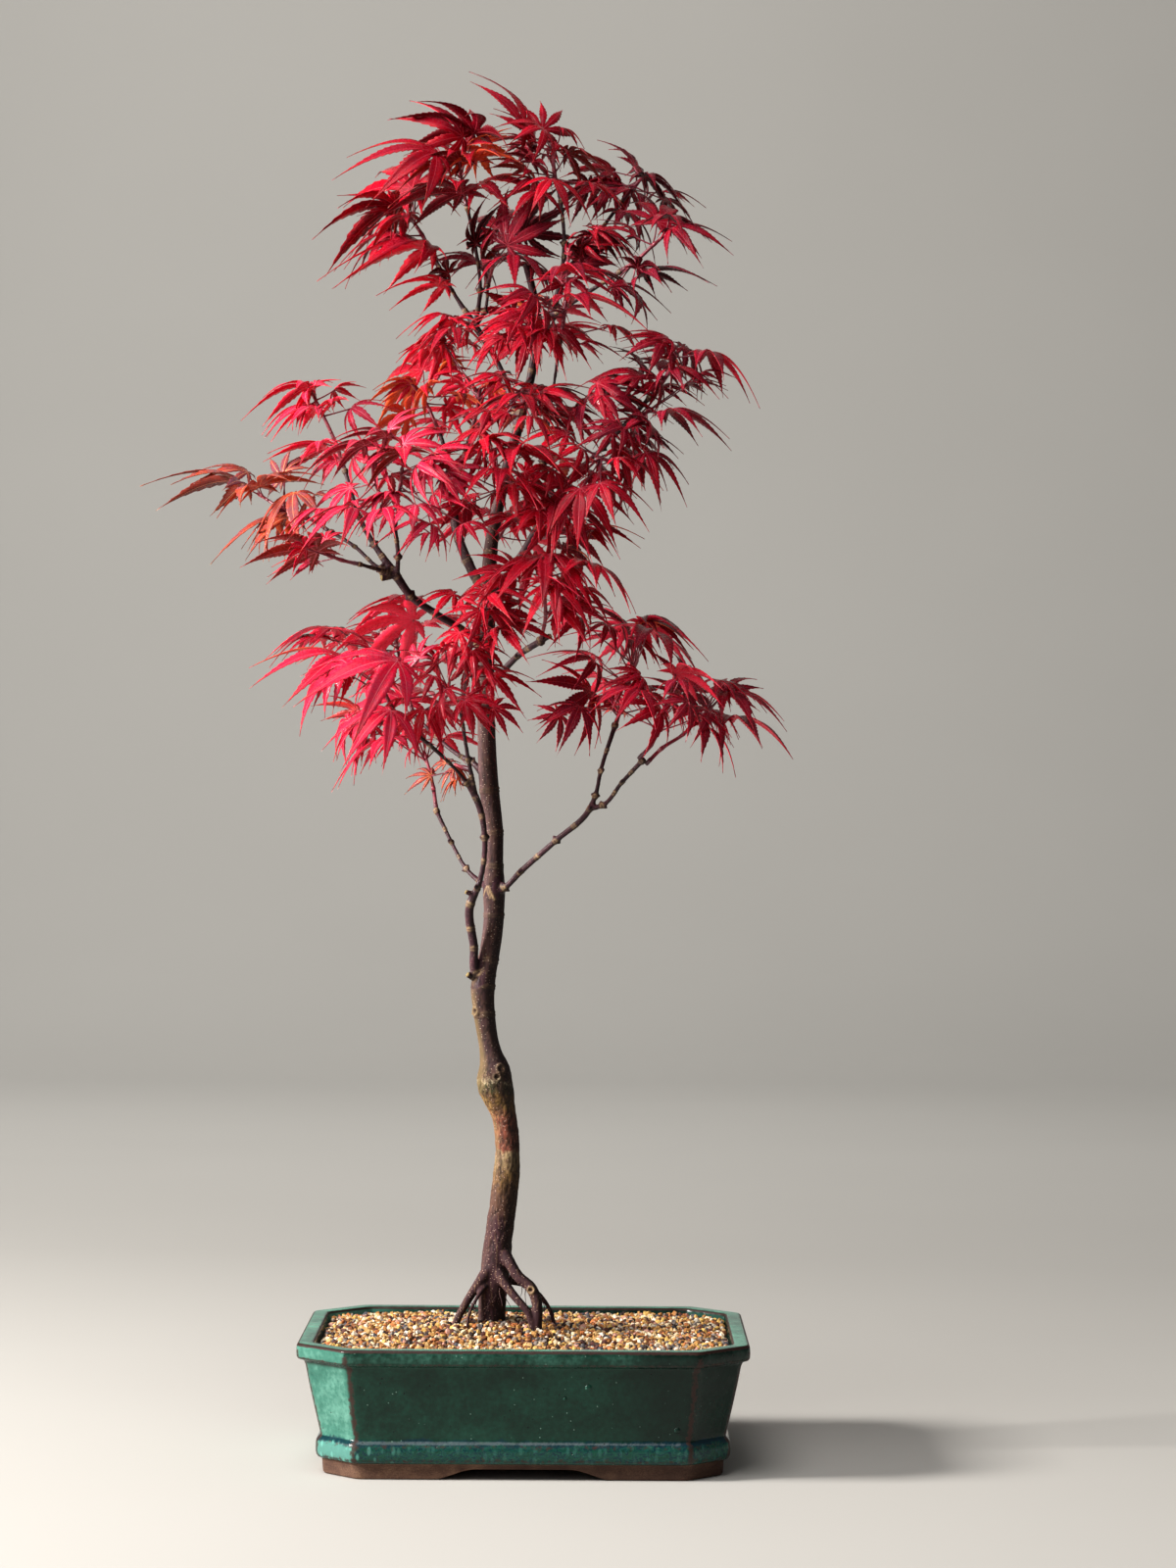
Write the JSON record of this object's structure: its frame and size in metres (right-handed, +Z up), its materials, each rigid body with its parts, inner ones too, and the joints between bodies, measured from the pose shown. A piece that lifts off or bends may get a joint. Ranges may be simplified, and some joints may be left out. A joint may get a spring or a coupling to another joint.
{
  "type": "potted japanese maple bonsai",
  "caption": "Slender upright japanese maple with layered sprays of deeply cut red leaves, in a low glazed pot with cut corners and gravel top dressing.",
  "frame": {"origin": "middle of the whole's bounding box in plan, on the surface that the pot's foot stands on", "axes": "+Z up along the trunk, X along the pot's long side, -Y towards the pot's and tree's front"},
  "size_m": [0.369, 0.258, 0.7901],
  "materials": {
    "glaze": "gloss",
    "mesh_plastic": "matte",
    "soil": "matte",
    "grit": "matte",
    "bark": "matte",
    "crimson_leaf": "satin",
    "pink_leaf": "satin",
    "maroon_leaf": "satin",
    "orange_leaf": "satin"
  },
  "bodies": {
    "root": {"pot": "glaze", "drainage_mesh_left": "mesh_plastic", "drainage_mesh_right": "mesh_plastic", "soil": "soil", "grit": "grit", "tree": "bark", "top_shoot": "crimson_leaf", "top_left_shoot": "crimson_leaf", "upper_left_shoot": "crimson_leaf", "top_dark_shoot": "maroon_leaf", "upper_right_shoot": "maroon_leaf", "right_tip_shoot": "maroon_leaf", "above_junction_shoot": "crimson_leaf", "thin_stem_shoot": "maroon_leaf", "mid_umbrella_shoot": "crimson_leaf", "right_high_shoot": "maroon_leaf", "right_mid_shoot": "maroon_leaf", "right_inner_shoot": "crimson_leaf", "right_low_shoot": "crimson_leaf", "centre_shoot": "crimson_leaf", "centre_top_shoot": "crimson_leaf", "umbrella_shoot": "crimson_leaf", "right_crest_shoot": "maroon_leaf", "right_inner_low_shoot": "maroon_leaf", "right_tip_low_shoot": "maroon_leaf", "trunk_front_shoot": "crimson_leaf", "left_low_back_shoot": "maroon_leaf", "left_low_front_shoot": "pink_leaf", "left_low_centre_shoot": "crimson_leaf", "left_under_shoot": "orange_leaf", "left_low_inner_shoot": "pink_leaf", "far_left_shoot": "orange_leaf", "far_left_low_shoot": "pink_leaf", "left_tall_shoot": "pink_leaf", "left_lower_shoot": "pink_leaf", "left_front_shoot": "pink_leaf", "left_back_tall_shoot": "crimson_leaf", "left_back_shoot": "crimson_leaf", "junction_shoot": "crimson_leaf", "back_crown_shoot": "maroon_leaf", "back_middle_shoot": "maroon_leaf"}
  },
  "joints": []
}
